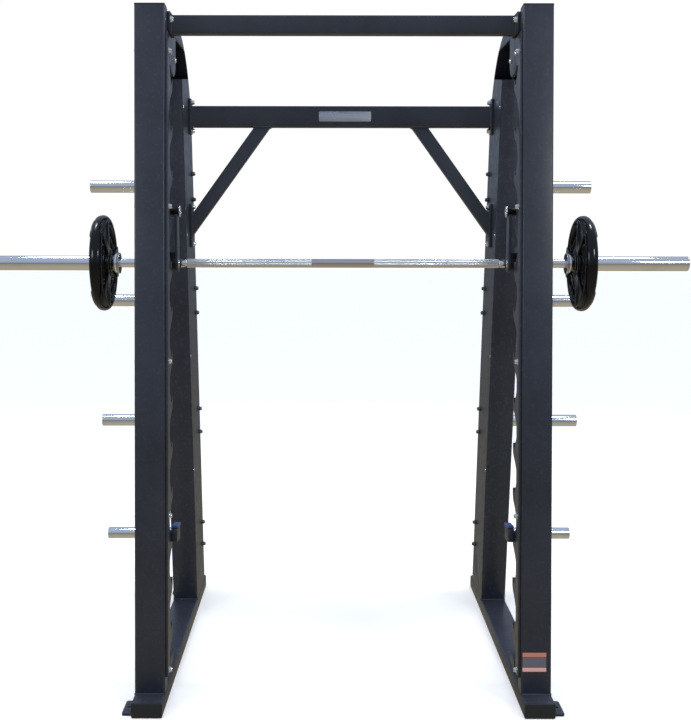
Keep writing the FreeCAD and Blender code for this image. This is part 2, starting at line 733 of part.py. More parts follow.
# ---- storage pegs ----
def storage_pegs():
    pegs = []
    flanges = []
    bolts = []
    for along in peg_heights:
        peg = rod(peg_radius, (side_outer + 8, peg_tip), peg_back, along)
        pegs.append(on_tower(peg.makeFillet(3, rims(peg, low=peg_tip - 1))))
        flange = block((side_outer, side_outer + 8 - weld_gap), (peg_back - 32, peg_back + 32),
                       (along - 70, along + 70))
        flanges.append(on_tower(rounded(flange, 8, X_AXIS)))
        for offset in (-peg_bolt_offset, peg_bolt_offset):
            shank = rod(5, (side_inner, side_outer), peg_back, along + offset)
            head = bolt_head(9, 14, side_inner, peg_back, along + offset)
            bolts.append(on_tower(head.fuse(shank)))
    add_both("storage_pegs", pegs)
    add_both("peg_flanges", flanges)
    add_both("peg_bolts", bolts)


# ---- counterbalance ----
def pulley_places():
    """Frame Y and Z of the two pulley axles of a side."""
    front_y, _ = post_yz(cable_back + pulley_pitch_radius,
                         post_along(cable_back + pulley_pitch_radius, pulley_height))
    depth = counterweight_cable_depth - pulley_pitch_radius
    rear_y, _ = tower_yz(depth, tower_along(depth, pulley_height))
    return front_y, rear_y


def pulley(y):
    """A grooved wheel on its axle line."""
    low = cable_x - pulley_half_width
    high = cable_x + pulley_half_width
    wheel = rod(pulley_rim_radius, (low, high), y, pulley_height)
    centre = Vector(cable_x, y, pulley_height)
    wheel = wheel.cut(Part.makeTorus(pulley_pitch_radius + 2, cable_radius + 3, centre, X_AXIS))
    for x in ((low - 1, low + 4), (high - 4, high + 1)):
        wheel = wheel.cut(ring(30, 14, x, y, pulley_height))
    return wheel.cut(rod(pulley_axle_radius + run_gap, (500, 700), y, pulley_height))


def counterbalance():
    front_y, rear_y = pulley_places()
    add_both("front_pulleys", [pulley(front_y)])
    add_both("rear_pulleys", [pulley(rear_y)])
    cheek_in = cable_x - pulley_half_width - 4
    cheek_out = cable_x + pulley_half_width + 4
    axles = []
    brackets = []
    for y in (front_y, rear_y):
        axle = rod(pulley_axle_radius, (cheek_in - 8, cheek_out + 8), y, pulley_height)
        axles.append(axle)
        for x in ((cheek_in - 5, cheek_in), (cheek_out, cheek_out + 5)):
            cheek = block(x, (y - 16, y + 16), (pulley_height - 16, top_tube_bottom))
            cheek = rounded(cheek, 6, X_AXIS)
            brackets.append(cheek.cut(rod(pulley_axle_radius + weld_gap, (500, 700), y, pulley_height)))
    add_both("pulley_hangers", axles + brackets)

    back = cable_back
    start = post_along(back + pulley_pitch_radius, pulley_height)
    lug_top = bar_height + carriage_half_height - 25
    front_run = upright(cable_radius, cable_x, back, (lug_top, start))
    add_both("cable_front_runs", [on_post(front_run)])
    depth = counterweight_cable_depth
    weight_top = counterweight_foot + counterweight_height
    rear_start = tower_along(depth - pulley_pitch_radius, pulley_height)
    rear_run = upright(cable_radius, cable_x, depth, (weight_top + 14, rear_start))
    add_both("cable_rear_runs", [on_tower(rear_run)])
    crown = pulley_height + pulley_pitch_radius
    radius = pulley_pitch_radius

    def rim(y, turn):
        return Vector(cable_x, y + radius * math.cos(turn), pulley_height + radius * math.sin(turn))
    first = math.pi - lean
    second = tower_tilt
    upward = math.pi / 2
    path = Part.Wire([arc(rim(front_y, first), rim(front_y, (first + upward) / 2), rim(front_y, upward)),
                      line(Vector(cable_x, front_y, crown), Vector(cable_x, rear_y, crown)),
                      arc(rim(rear_y, upward), rim(rear_y, (second + upward) / 2), rim(rear_y, second))])
    start_point = rim(front_y, first)
    direction = Vector(0, math.sin(lean), math.cos(lean))
    section = Part.Wire([Part.makeCircle(cable_radius, start_point, direction)])
    add_both("cable_top_runs", [path.makePipeShell([section], True, False)])

    side_gap = 9.0
    x = (side_inner + tower_wall + side_gap, side_outer - tower_wall - side_gap)
    z = (counterweight_foot, weight_top)
    weight = rounded(block(x, counterweight_depth, z), 6, Z_AXIS)
    weight = weight.cut(upright(counterweight_rod_radius + run_gap, cable_x, counterweight_rod_depth,
                                (z[0] - 1, z[1] + 1)))
    add_both("counterweights", [on_tower(weight)])
    clamp = upright(7, cable_x, depth, (weight_top, weight_top + 14))
    add_both("cable_clamps", [on_tower(clamp)])
    guide = upright(counterweight_rod_radius, cable_x, counterweight_rod_depth, (-40, tower_top - 12))
    plate = block((side_inner + tower_wall + 0.5, side_outer - tower_wall - 0.5), (82, 128),
                  (tower_top - 24, tower_top - 16))
    plate = plate.cut(upright(counterweight_rod_radius + weld_gap, cable_x, counterweight_rod_depth,
                              (1900, 2200)))
    add_both("counterweight_guides", [on_tower(guide).common(above(base_height)), on_tower(plate)])


base()
posts()
towers()
hoods()
top_tubes()
cross_members()
catch_plates()
guide_rods()
bar()
sleeves()
weight_plates()
carriages()
safety_stops()
label()
storage_pegs()
counterbalance()

os.makedirs("parts", exist_ok=True)
for name, shape in nodes.items():
    for solid in shape.Solids:
        if not solid.isValid():
            print("not valid:", name)
    shape.exportStep("parts/" + name + ".step")
print(len(nodes), "nodes")
print("post top", post_yz(0, post_length + post_cap_height))
print("bar axis", post_yz(bar_back, bar_height), "travel axis", (0, math.sin(lean), math.cos(lean)))
print("pulley axles", pulley_places(), pulley_height)
print("bend", bend_y, bend_z)
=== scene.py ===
"""Looks of the smith machine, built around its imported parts.

Metres, in the parts' own frame: +X to the user's right, +Y to the rear, +Z up. Pieces whose names end in
_finish are copies of parts with rounded edges; the others are shapes of their own.
"""
import json
import math

import bmesh
import bpy
from mathutils import Matrix, Vector


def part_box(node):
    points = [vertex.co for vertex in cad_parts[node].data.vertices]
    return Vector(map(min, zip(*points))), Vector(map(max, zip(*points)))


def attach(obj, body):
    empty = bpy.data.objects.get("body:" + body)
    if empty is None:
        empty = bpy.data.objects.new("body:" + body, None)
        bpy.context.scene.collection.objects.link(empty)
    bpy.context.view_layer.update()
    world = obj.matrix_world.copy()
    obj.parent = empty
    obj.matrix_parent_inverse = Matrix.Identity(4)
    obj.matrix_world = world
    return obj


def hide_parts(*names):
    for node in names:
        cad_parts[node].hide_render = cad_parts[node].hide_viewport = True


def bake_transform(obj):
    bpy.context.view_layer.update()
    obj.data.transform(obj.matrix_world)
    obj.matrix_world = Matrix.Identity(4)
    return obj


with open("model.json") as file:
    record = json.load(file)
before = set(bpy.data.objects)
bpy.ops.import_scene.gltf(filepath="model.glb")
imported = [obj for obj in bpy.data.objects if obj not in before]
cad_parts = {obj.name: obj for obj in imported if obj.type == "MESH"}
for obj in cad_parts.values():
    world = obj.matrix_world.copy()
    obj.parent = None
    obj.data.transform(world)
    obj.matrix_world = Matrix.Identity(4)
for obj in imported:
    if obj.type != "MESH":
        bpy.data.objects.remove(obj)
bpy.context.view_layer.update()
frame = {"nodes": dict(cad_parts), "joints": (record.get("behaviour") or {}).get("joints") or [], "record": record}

X_AXIS = Vector((1, 0, 0))
Y_AXIS = Vector((0, 1, 0))
Z_AXIS = Vector((0, 0, 1))
BODY = {node: body for body, nodes in frame["record"]["behaviour"]["bodies"].items() for node in nodes}
SLOT = {entry["node"]: entry["material_slot"] for entry in frame["record"]["subparts"]}
JOINT = {joint["name"]: joint for joint in frame["joints"]}
SIDES = {"left": -1, "right": 1}

# ---- places read from the frame ----
BAR = Vector(JOINT["bar_twist"]["pos_m"])
POST_UP = Vector(JOINT["bar_travel"]["axis"]).normalized()
POST_BACK = POST_UP.cross(X_AXIS).normalized()
TOWER_UP = Vector(JOINT["counterweight_travel"]["axis"]).normalized()

# ---- camera ----
CAMERA_PLACE = (-0.0623, -4.0446, 1.5638)
CAMERA_LENS = 54.83
CAMERA_PITCH = 6.72
CAMERA_ROLL = 0.08
CAMERA_SHIFT = 0.0292


# ---- materials ----
class Nodes:
    """A material's node tree, with short calls for the nodes that the materials here share."""

    def __init__(self, name):
        self.material = bpy.data.materials.new(name)
        self.material.use_nodes = True
        self.tree = self.material.node_tree
        self.surface = self.tree.nodes["Principled BSDF"]
        self.place = self.tree.nodes.new("ShaderNodeTexCoord").outputs["Object"]

    def link(self, source, target):
        self.tree.links.new(source, target)

    def set(self, **values):
        for name, value in values.items():
            socket = self.surface.inputs[name.replace("_", " ")]
            if isinstance(value, bpy.types.NodeSocket):
                self.link(value, socket)
            else:
                socket.default_value = value

    def stretched(self, scale):
        """Object coordinates scaled by axis, for grain that runs one way."""
        node = self.tree.nodes.new("ShaderNodeMapping")
        node.inputs["Scale"].default_value = scale
        self.link(self.place, node.inputs["Vector"])
        return node.outputs["Vector"]

    def noise(self, scale, detail=3.0, place=None):
        node = self.tree.nodes.new("ShaderNodeTexNoise")
        node.inputs["Scale"].default_value = scale
        node.inputs["Detail"].default_value = detail
        self.link(place or self.place, node.inputs["Vector"])
        return node.outputs["Fac"]

    def cells(self, scale):
        node = self.tree.nodes.new("ShaderNodeTexVoronoi")
        node.inputs["Scale"].default_value = scale
        self.link(self.place, node.inputs["Vector"])
        return node.outputs["Distance"]

    def remap(self, value, low, high, to_low, to_high):
        node = self.tree.nodes.new("ShaderNodeMapRange")
        for name, number in (("From Min", low), ("From Max", high), ("To Min", to_low), ("To Max", to_high)):
            node.inputs[name].default_value = number
        self.link(value, node.inputs["Value"])
        return node.outputs["Result"]

    def math(self, kind, first, second):
        node = self.tree.nodes.new("ShaderNodeMath")
        node.operation = kind
        for socket, value in zip(node.inputs, (first, second)):
            if isinstance(value, bpy.types.NodeSocket):
                self.link(value, socket)
            else:
                socket.default_value = value
        return node.outputs["Value"]

    def mix(self, share, first, second):
        """Colours blended by a share from 0 to 1."""
        node = self.tree.nodes.new("ShaderNodeMix")
        node.data_type = "RGBA"
        if isinstance(share, bpy.types.NodeSocket):
            self.link(share, node.inputs["Factor"])
        else:
            node.inputs["Factor"].default_value = share
        for name, value in (("A", first), ("B", second)):
            socket = [s for s in node.inputs if s.name == name and s.type == "RGBA"][0]
            if isinstance(value, bpy.types.NodeSocket):
                self.link(value, socket)
            else:
                socket.default_value = (*value, 1.0)
        return [s for s in node.outputs if s.type == "RGBA"][0]

    def edges(self, low=0.53, high=0.60):
        """1 on sharp outer edges and 0 elsewhere."""
        geometry = self.tree.nodes.new("ShaderNodeNewGeometry")
        return self.remap(geometry.outputs["Pointiness"], low, high, 0.0, 1.0)

    def bump(self, height, distance, strength):
        node = self.tree.nodes.new("ShaderNodeBump")
        node.inputs["Distance"].default_value = distance
        node.inputs["Strength"].default_value = strength
        self.link(height, node.inputs["Height"])
        self.link(node.outputs["Normal"], self.surface.inputs["Normal"])


# Darker, warmer tint for the bar's smooth centre band: a painted reflection of a darker room in the polished
# chrome.
PAINTED_DARK_REFLECTION = (0.60, 0.54, 0.54)
RUBBED_EDGE = (0.16, 0.165, 0.18)


def powder_coat(name, colour, gloss=0.36, wear=0.35):
    """Satin powder coat: fine orange peel, faint mottling, and edges rubbed a little paler."""
    made = Nodes(name)
    mottle = made.remap(made.noise(5.0, 4.0), 0.3, 0.7, 0.0, 1.0)
    paler = tuple(channel * 1.35 + 0.002 for channel in colour)
    coat = made.mix(mottle, colour, paler)
    scuffs = made.remap(made.noise(90.0, 6.0), 0.55, 0.75, 0.0, wear)
    rubbed = made.math("MULTIPLY", made.edges(), scuffs)
    made.set(Base_Color=made.mix(rubbed, coat, RUBBED_EDGE))
    made.set(Roughness=made.remap(made.noise(38.0, 5.0), 0.3, 0.7, gloss - 0.05, gloss + 0.07))
    made.set(Specular_IOR_Level=0.5)
    made.bump(made.noise(900.0, 2.0), 0.00012, 0.5)
    return made.material


def chrome(name, colour=(0.80, 0.81, 0.83), gloss=0.07, grain=(1.0, 1.0, 1.0), painted_reflection_half=0.0):
    """Hard chrome: near mirror, with faint smudges and fine lines along the grain.

    The last argument gives the reach from the centre plane of a band tinted darker and warmer: a painted
    reflection of a darker room in the smooth polished centre.
    """
    made = Nodes(name)
    smudge = made.noise(11.0, 5.0)
    dull = tuple(channel * 0.9 for channel in colour)
    plated = made.mix(made.remap(smudge, 0.45, 0.75, 0.0, 1.0), colour, dull)
    if painted_reflection_half:
        split = made.tree.nodes.new("ShaderNodeSeparateXYZ")
        made.link(made.place, split.inputs["Vector"])
        reach = made.math("ABSOLUTE", split.outputs["X"], 0.0)
        # Painted reflection: within that reach of the centre the colour turns darker and warmer, standing in for
        # the dark room that the polished band reflects.
        plated = made.mix(made.math("LESS_THAN", reach, painted_reflection_half), plated, PAINTED_DARK_REFLECTION)
    made.set(Base_Color=plated)
    made.set(Metallic=1.0, Roughness=made.remap(smudge, 0.3, 0.75, gloss * 0.7, gloss * 1.7))
    made.bump(made.noise(420.0, 4.0, made.stretched(grain)), 0.00003, 0.35)
    return made.material


def worn_metal(name, colour, gloss, grain, metallic=1.0, depth=0.00004, scale=300.0):
    """Bare or coated metal with a directional grain."""
    made = Nodes(name)
    lines = made.noise(scale, 4.0, made.stretched(grain))
    made.set(Base_Color=made.mix(made.remap(lines, 0.3, 0.7, 0.0, 1.0), tuple(c * 0.82 for c in colour),
                                 tuple(min(1.0, c * 1.12) for c in colour)))
    made.set(Metallic=metallic)
    made.set(Roughness=made.remap(made.noise(25.0, 5.0), 0.3, 0.7, gloss - 0.07, gloss + 0.09))
    made.bump(lines, depth, 0.5)
    return made.material


def moulded(name, colour, gloss, grain_scale=700.0, depth=0.0001, specular=0.5):
    """Moulded plastic or rubber: fine texture, slightly uneven gloss, dust in the paler patches."""
    made = Nodes(name)
    dust = made.remap(made.noise(7.0, 6.0), 0.5, 0.8, 0.0, 0.5)
    made.set(Base_Color=made.mix(dust, colour, tuple(channel * 1.6 + 0.002 for channel in colour)))
    made.set(Roughness=made.remap(made.noise(22.0, 5.0), 0.3, 0.7, gloss - 0.05, gloss + 0.08))
    made.set(Specular_IOR_Level=specular)
    made.bump(made.noise(grain_scale, 3.0), depth, 0.45)
    return made.material


def cast(name, colour):
    """Painted cast iron: pitted skin under a thin coat."""
    made = Nodes(name)
    pits = made.cells(260.0)
    darker = tuple(channel * 0.7 for channel in colour)
    made.set(Base_Color=made.mix(made.remap(pits, 0.0, 0.5, 0.0, 1.0), darker, colour))
    made.set(Metallic=0.3, Roughness=made.remap(made.noise(40.0), 0.3, 0.7, 0.5, 0.7))
    made.bump(made.math("ADD", pits, made.noise(120.0, 6.0)), 0.0004, 0.6)
    return made.material


def colour_ramp(tree, levels):
    """A ramp node with a colour at each (position, colour) level."""
    ramp = tree.nodes.new("ShaderNodeValToRGB")
    stops = ramp.color_ramp.elements
    while len(stops) < len(levels):
        stops.new(0.5)
    for stop, (position, colour) in zip(stops, levels):
        stop.position = position
        stop.color = (*colour, 1.0)
    return ramp


def label_film(name):
    """Blank printed film: flat bands of colour up the label, with no lettering."""
    made = Nodes(name)
    low, high = (corner.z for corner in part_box("label_sheet"))
    split = made.tree.nodes.new("ShaderNodeSeparateXYZ")
    made.link(made.place, split.inputs["Vector"])
    ramp = colour_ramp(made.tree, LABEL_BANDS)
    ramp.color_ramp.interpolation = "CONSTANT"
    made.link(made.remap(split.outputs["Z"], low, high, 0.0, 1.0), ramp.inputs["Fac"])
    made.set(Base_Color=ramp.outputs["Color"], Roughness=0.35)
    return made.material


LABEL_BANDS = (
    (0.00, (0.045, 0.03, 0.025)),
    (0.09, (0.85, 0.50, 0.45)),
    (0.28, (0.24, 0.09, 0.075)),
    (0.34, (0.145, 0.15, 0.185)),
    (0.74, (0.24, 0.09, 0.075)),
    (0.80, (0.66, 0.26, 0.19)),
)

MATERIAL = {
    "frame_black": powder_coat("frame_powder_coat", (0.021, 0.024, 0.036)),
    "chrome": chrome("chrome_plate", grain=(0.02, 1.0, 1.0)),
    # The bar's smooth centre band carries a painted dark reflection.
    "bar_chrome": chrome("bar_chrome", painted_reflection_half=0.1055),
    "knurl": chrome("knurled_chrome", gloss=0.26),
    "black_oxide": worn_metal("black_oxide_steel", (0.035, 0.035, 0.04), 0.34, (0.2, 1.0, 1.0)),
    "bolt_steel": worn_metal("bolt_steel", (0.13, 0.13, 0.14), 0.30, (1.0, 1.0, 1.0)),
    "end_cap_plastic": moulded("cap_plastic", (0.013, 0.014, 0.018), 0.48),
    "pulley_plastic": moulded("pulley_nylon", (0.02, 0.02, 0.022), 0.42),
    "plate_rubber": moulded("plate_rubber", (0.003, 0.003, 0.004), 0.15, 500.0, 0.00005, specular=0.3),
    "plate_iron": cast("cast_iron", (0.05, 0.05, 0.055)),
    "housing_aluminium": worn_metal("anodised_aluminium", (0.03, 0.03, 0.034), 0.38, (1.0, 1.0, 0.1)),
    "brushed_plate": worn_metal("brushed_nameplate", (0.62, 0.63, 0.66), 0.30, (0.015, 1.0, 1.0),
                                scale=900.0),
    "bearing_steel": worn_metal("bearing_steel", (0.45, 0.45, 0.47), 0.25, (1.0, 1.0, 0.1)),
    "cable_steel": moulded("cable_coat", (0.012, 0.012, 0.013), 0.35, 900.0, 0.0001),
    "stop_pad_blue": moulded("stop_pad_urethane", (0.05, 0.09, 0.26), 0.42, 400.0),
    "label_film": label_film("label_film"),
}


# ---- floor, light and camera ----
SKY = (
    (0.00, (0.46, 0.42, 0.31)),
    (0.35, (0.33, 0.30, 0.23)),
    (0.46, (0.21, 0.21, 0.205)),
    (0.495, (0.18, 0.195, 0.225)),
    (0.53, (0.31, 0.37, 0.47)),
    (0.72, (0.39, 0.46, 0.60)),
    (1.00, (0.46, 0.54, 0.66)),
)


def make_stage():
    """A pale floor and a studio that is white behind the object and dimmer in what the object reflects."""
    bpy.ops.mesh.primitive_circle_add(vertices=96, radius=40.0, fill_type="NGON", location=(0, 0, -0.0005))
    floor = bpy.context.object
    floor.name = "floor"
    made = Nodes("pale_floor")
    made.set(Base_Color=made.mix(made.noise(1.5), (0.84, 0.84, 0.84), (0.87, 0.87, 0.87)), Roughness=0.7)
    made.set(Emission_Color=(1.0, 0.97, 0.94, 1.0), Emission_Strength=0.30)
    floor.data.materials.append(made.material)
    floor.visible_glossy = False
    floor.visible_diffuse = False

    world = bpy.data.worlds.new("studio")
    bpy.context.scene.world = world
    world.use_nodes = True
    tree = world.node_tree
    backdrop = tree.nodes["Background"]
    backdrop.inputs["Color"].default_value = (1.0, 1.0, 1.0, 1.0)
    backdrop.inputs["Strength"].default_value = 1.03
    split = tree.nodes.new("ShaderNodeSeparateXYZ")
    tree.links.new(tree.nodes.new("ShaderNodeTexCoord").outputs["Generated"], split.inputs["Vector"])
    height = tree.nodes.new("ShaderNodeMapRange")
    height.inputs["From Min"].default_value = -1.0
    tree.links.new(split.outputs["Z"], height.inputs["Value"])
    ramp = colour_ramp(tree, SKY)
    tree.links.new(height.outputs["Result"], ramp.inputs["Fac"])
    surroundings = tree.nodes.new("ShaderNodeBackground")
    tree.links.new(ramp.outputs["Color"], surroundings.inputs["Color"])
    choice = tree.nodes.new("ShaderNodeMixShader")
    tree.links.new(tree.nodes.new("ShaderNodeLightPath").outputs["Is Camera Ray"], choice.inputs["Fac"])
    tree.links.new(surroundings.outputs["Background"], choice.inputs[1])
    tree.links.new(backdrop.outputs["Background"], choice.inputs[2])
    tree.links.new(choice.outputs["Shader"], tree.nodes["World Output"].inputs["Surface"])
    bpy.context.scene.view_settings.view_transform = "Standard"


def area_light(name, place, target, size, power, colour=(1, 1, 1)):
    data = bpy.data.lights.new(name, "AREA")
    data.shape = "RECTANGLE"
    data.size, data.size_y = size
    data.energy = power
    data.color = colour
    light = bpy.data.objects.new(name, data)
    light.location = place
    light.rotation_euler = (Vector(target) - Vector(place)).to_track_quat("-Z", "Y").to_euler()
    bpy.context.scene.collection.objects.link(light)
    return light


def make_lights():
    overhead = bpy.data.lights.new("overhead", "SUN")
    overhead.energy = 1.2
    overhead.angle = math.radians(50)
    light = bpy.data.objects.new("overhead", overhead)
    light.visible_glossy = False
    light.rotation_euler = (math.radians(8), 0, 0)
    bpy.context.scene.collection.objects.link(light)
    area_light("key", (3.0, -3.6, 3.4), (0, 0, 1.3), (0.8, 0.9), 45, (0.95, 0.98, 1.0))
    area_light("fill", (-3.4, -3.2, 2.8), (0, 0, 1.2), (0.8, 0.9), 34, (0.92, 0.96, 1.0))
    for sign in SIDES.values():
        area_light("lamp", (sign * 1.6, 0.2, 3.8), (sign * 0.8, -0.3, 1.45), (0.5, 0.5), 16,
                   (0.95, 0.98, 1.0))
    rear = area_light("rear", (0, 4.2, 3.6), (0, 0, 1.4), (3.0, 1.6), 40)
    rear.visible_glossy = False


def make_camera():
    data = bpy.data.cameras.new("camera")
    data.lens = CAMERA_LENS
    data.sensor_width = 36.0
    data.sensor_fit = "AUTO"
    data.shift_x = CAMERA_SHIFT
    camera = bpy.data.objects.new("camera", data)
    pitch = math.radians(CAMERA_PITCH)
    back = Vector((0, -math.cos(pitch), math.sin(pitch)))
    right = Matrix.Rotation(math.radians(-CAMERA_ROLL), 3, back * -1) @ X_AXIS
    up = back.cross(right)
    turn = Matrix((right, up, back)).transposed().to_4x4()
    camera.matrix_world = Matrix.Translation(CAMERA_PLACE) @ turn
    bpy.context.scene.collection.objects.link(camera)
    bpy.context.scene.camera = camera


# ---- mesh helpers ----
def store(name, mesh, body, slot, material=None):
    """Makes a piece from a mesh and lets it ride on a body."""
    mesh.materials.clear()
    mesh.materials.append(material or MATERIAL[slot])
    piece = bpy.data.objects.new(name, mesh)
    bpy.context.scene.collection.objects.link(piece)
    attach(piece, body)
    return piece


def smooth(mesh, angle=32):
    """Smooth shading, broken at edges sharper than an angle."""
    mesh.shade_smooth()
    mesh.set_sharp_from_angle(angle=math.radians(angle))


def joined(name, shapes, angle=32):
    """One mesh from several (vertices, faces) shapes."""
    work = bmesh.new()
    for vertices, faces in shapes:
        made = [work.verts.new(vertex) for vertex in vertices]
        for face in faces:
            work.faces.new([made[index] for index in face])
    bmesh.ops.recalc_face_normals(work, faces=work.faces)
    mesh = bpy.data.meshes.new(name)
    work.to_mesh(mesh)
    work.free()
    smooth(mesh, angle)
    return mesh


def welded(node):
    """A part's mesh in a bmesh, with the vertices that its faces share merged."""
    work = bmesh.new()
    work.from_mesh(frame["nodes"][node].data)
    bmesh.ops.remove_doubles(work, verts=work.verts, dist=2e-6)
    return work


def solids(node):
    """The lowest and highest corners of each separate solid of a part."""
    work = welded(node)
    waiting = set(work.verts)
    boxes = []
    while waiting:
        front = [waiting.pop()]
        found = []
        while front:
            vertex = front.pop()
            found.append(vertex.co.copy())
            for edge in vertex.link_edges:
                other = edge.other_vert(vertex)
                if other in waiting:
                    waiting.discard(other)
                    front.append(other)
        low = Vector([min(point[axis] for point in found) for axis in range(3)])
        high = Vector([max(point[axis] for point in found) for axis in range(3)])
        boxes.append((low, high))
    work.free()
    return sorted(boxes, key=lambda box: tuple(box[0]))


def is_corner(edge, angle=30):
    return len(edge.link_faces) == 2 and edge.calc_face_angle(0.0) > math.radians(angle)


def longer_than(length):
    return lambda edge: edge.calc_length() > length


def refined(node, width=0.0008, segments=2, big=None, big_width=0.005, big_segments=4):
    """A copy of a part with rounded edges, standing for the part. big picks a tube's own corner edges."""
    work = welded(node)
    bmesh.ops.dissolve_limit(work, angle_limit=math.radians(0.4), verts=work.verts, edges=work.edges)
    if big:
        chosen = [edge for edge in work.edges if is_corner(edge) and big(edge)]
        bmesh.ops.bevel(work, geom=chosen, offset=big_width, segments=big_segments, profile=0.5,
                        affect="EDGES", clamp_overlap=False)
    if width:
        chosen = [edge for edge in work.edges if is_corner(edge)]
        bmesh.ops.bevel(work, geom=chosen, offset=width, segments=segments, profile=0.5, affect="EDGES",
                        clamp_overlap=True)
    mesh = bpy.data.meshes.new(node + "_finish")
    work.to_mesh(mesh)
    work.free()
    smooth(mesh)
    piece = store(node + "_finish", mesh, BODY[node], SLOT[node])
    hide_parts(node)
    return piece


def softened(points, steps=4):
    """An outline with rounded corners. Its points are (along, radius) or (along, radius, corner radius)."""
    flat = [Vector(point[:2]) for point in points]
    outline = []
    for index, point in enumerate(points):
        if len(point) < 3 or index in (0, len(points) - 1):
            outline.append(tuple(flat[index]))
            continue
        back = flat[index - 1] - flat[index]
        ahead = flat[index + 1] - flat[index]
        reach = min(point[2], back.length * 0.49, ahead.length * 0.49)
        corner = flat[index]
        start = corner + back.normalized() * reach
        end = corner + ahead.normalized() * reach
        for step in range(steps + 1):
            share = step / steps
            outline.append(tuple(start * (1 - share)**2 + corner * 2 * share * (1 - share) + end * share**2))
    return outline


def turned(outline, origin, axis, segments, closed=False):
    """A shape turned about an axis. An outline point is (along, radius); a third item makes it a hexagon."""
    axis = Vector(axis).normalized()
    side = axis.orthogonal().normalized()
    other = axis.cross(side)
    vertices = []
    rings = []
    for point in outline:
        centre = Vector(origin) + axis * point[0]
        if point[1] < 1e-7:
            rings.append([len(vertices)])
            vertices.append(centre)
            continue
        ring = []
        for index in range(segments):
            turn = math.tau * index / segments
            reach = point[1]
            if len(point) > 2:
                reach *= math.cos(math.pi / 6) / math.cos(turn % (math.pi / 3) - math.pi / 6)
            ring.append(len(vertices))
            vertices.append(centre + (side * math.cos(turn) + other * math.sin(turn)) * reach)
        rings.append(ring)
    faces = []
    for low, high in zip(rings, rings[1:] + (rings[:1] if closed else [])):
        for index in range(segments):
            following = (index + 1) % segments
            if len(low) == 1:
                faces.append((low[0], high[following], high[index]))
            elif len(high) == 1:
                faces.append((low[index], low[following], high[0]))
            else:
                faces.append((low[index], low[following], high[following], high[index]))
    return vertices, faces


def resampled(points, step, closed=False):
    """The same path with points no further apart than a step."""
    path = []
    ends = list(zip(points, points[1:] + (points[:1] if closed else [])))
    for start, end in ends:
        start, end = Vector(start), Vector(end)
        count = max(1, round((end - start).length / step))
        path += [start.lerp(end, index / count) for index in range(count)]
    if not closed:
        path.append(Vector(points[-1]))
    return path


def swept(path, radius, closed=False, sides=8, ripple=0.0, period=3):
    """A round bead or cable along a path. A ripple swells every few rings, as the scales of a weld do."""
    path = [Vector(point) for point in path]
    count = len(path)
    vertices = []
    side = None
    for index, point in enumerate(path):
        ahead = path[(index + 1) % count] if closed or index < count - 1 else point
        behind = path[index - 1] if closed or index > 0 else point
        along = (ahead - behind).normalized()
        side = along.orthogonal() if side is None else side - along * side.dot(along)
        side = side.normalized()
        other = along.cross(side)
        reach = radius * (1 + ripple * math.cos(math.tau * index / period))
        for step in range(sides):
            turn = math.tau * step / sides
            vertices.append(point + (side * math.cos(turn) + other * math.sin(turn)) * reach)
    faces = []
    for index in range(count if closed else count - 1):
        low = index * sides
        high = (index + 1) % count * sides
        for step in range(sides):
            following = (step + 1) % sides
            faces.append((low + step, low + following, high + following, high + step))
    if not closed:
        faces.append(tuple(range(sides)))
        faces.append(tuple(range((count - 1) * sides, count * sides)))
    return vertices, faces


def side_of(box):
    return 1 if box[0].x + box[1].x > 0 else -1


def middle(box):
    return (box[0] + box[1]) / 2


def bar_ends(box, radius, up):
    """The foot and head of the centre line of a round bar that leans in the YZ plane, from its box."""
    length = (box[1].z - box[0].z - 2 * radius * abs(up.y)) / up.z
    return middle(box) - up * length / 2, middle(box) + up * length / 2


def piece(name, shapes, body, slot, replaced=(), angle=32, material=None):
    """A piece made of (vertices, faces) shapes, which may stand for parts."""
    made = store(name, joined(name, shapes, angle), body, slot, material)
    if replaced:
        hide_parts(*replaced)
    return made


def stand_in(node, shapes, angle=32, material=None):
    """A finished piece that stands for one part and keeps its body and slot."""
    return piece(node + "_finish", shapes, BODY[node], SLOT[node], [node], angle, material)


def mirrored_outline(half):
    """An outline along X from its right half, which starts at the tip."""
    return half + [(-along, *rest) for along, *rest in reversed(half)]


def cut(mesh, tools):
    """Takes (vertices, faces) shapes out of a mesh."""
    target = bpy.data.objects.new("target", mesh)
    tool = bpy.data.objects.new("tool", joined("tool", tools))
    for item in (target, tool):
        bpy.context.scene.collection.objects.link(item)
    modifier = target.modifiers.new("cut", "BOOLEAN")
    modifier.operation = "DIFFERENCE"
    modifier.solver = "EXACT"
    modifier.object = tool
    bpy.context.view_layer.update()
    result = bpy.data.meshes.new_from_object(target.evaluated_get(bpy.context.evaluated_depsgraph_get()))
    for item in (target, tool):
        bpy.data.objects.remove(item)
    return result


# ---- frame ----
SIDE_INNER = solids("posts")[1][0].x
SIDE_OUTER = solids("posts")[1][1].x


def tube_corner(edge):
    """The corner edges of a bent tube or a tower: those between a side and its back, top or front."""
    normals = [face.normal for face in edge.link_faces]
    across = [normal for normal in normals if abs(normal.x) > 0.99]
    around = [normal for normal in normals if abs(normal.x) < 0.01]
    if len(across) != 1 or len(around) != 1:
        return False
    centre = (edge.verts[0].co + edge.verts[1].co) / 2
    skin = SIDE_OUTER if across[0].x * centre.x > 0 else SIDE_INNER
    return abs(abs(centre.x) - skin) < 1e-5


def tower_corner(edge):
    rear = [face.normal for face in edge.link_faces if face.normal.y > 0.3]
    return bool(rear) and tube_corner(edge)


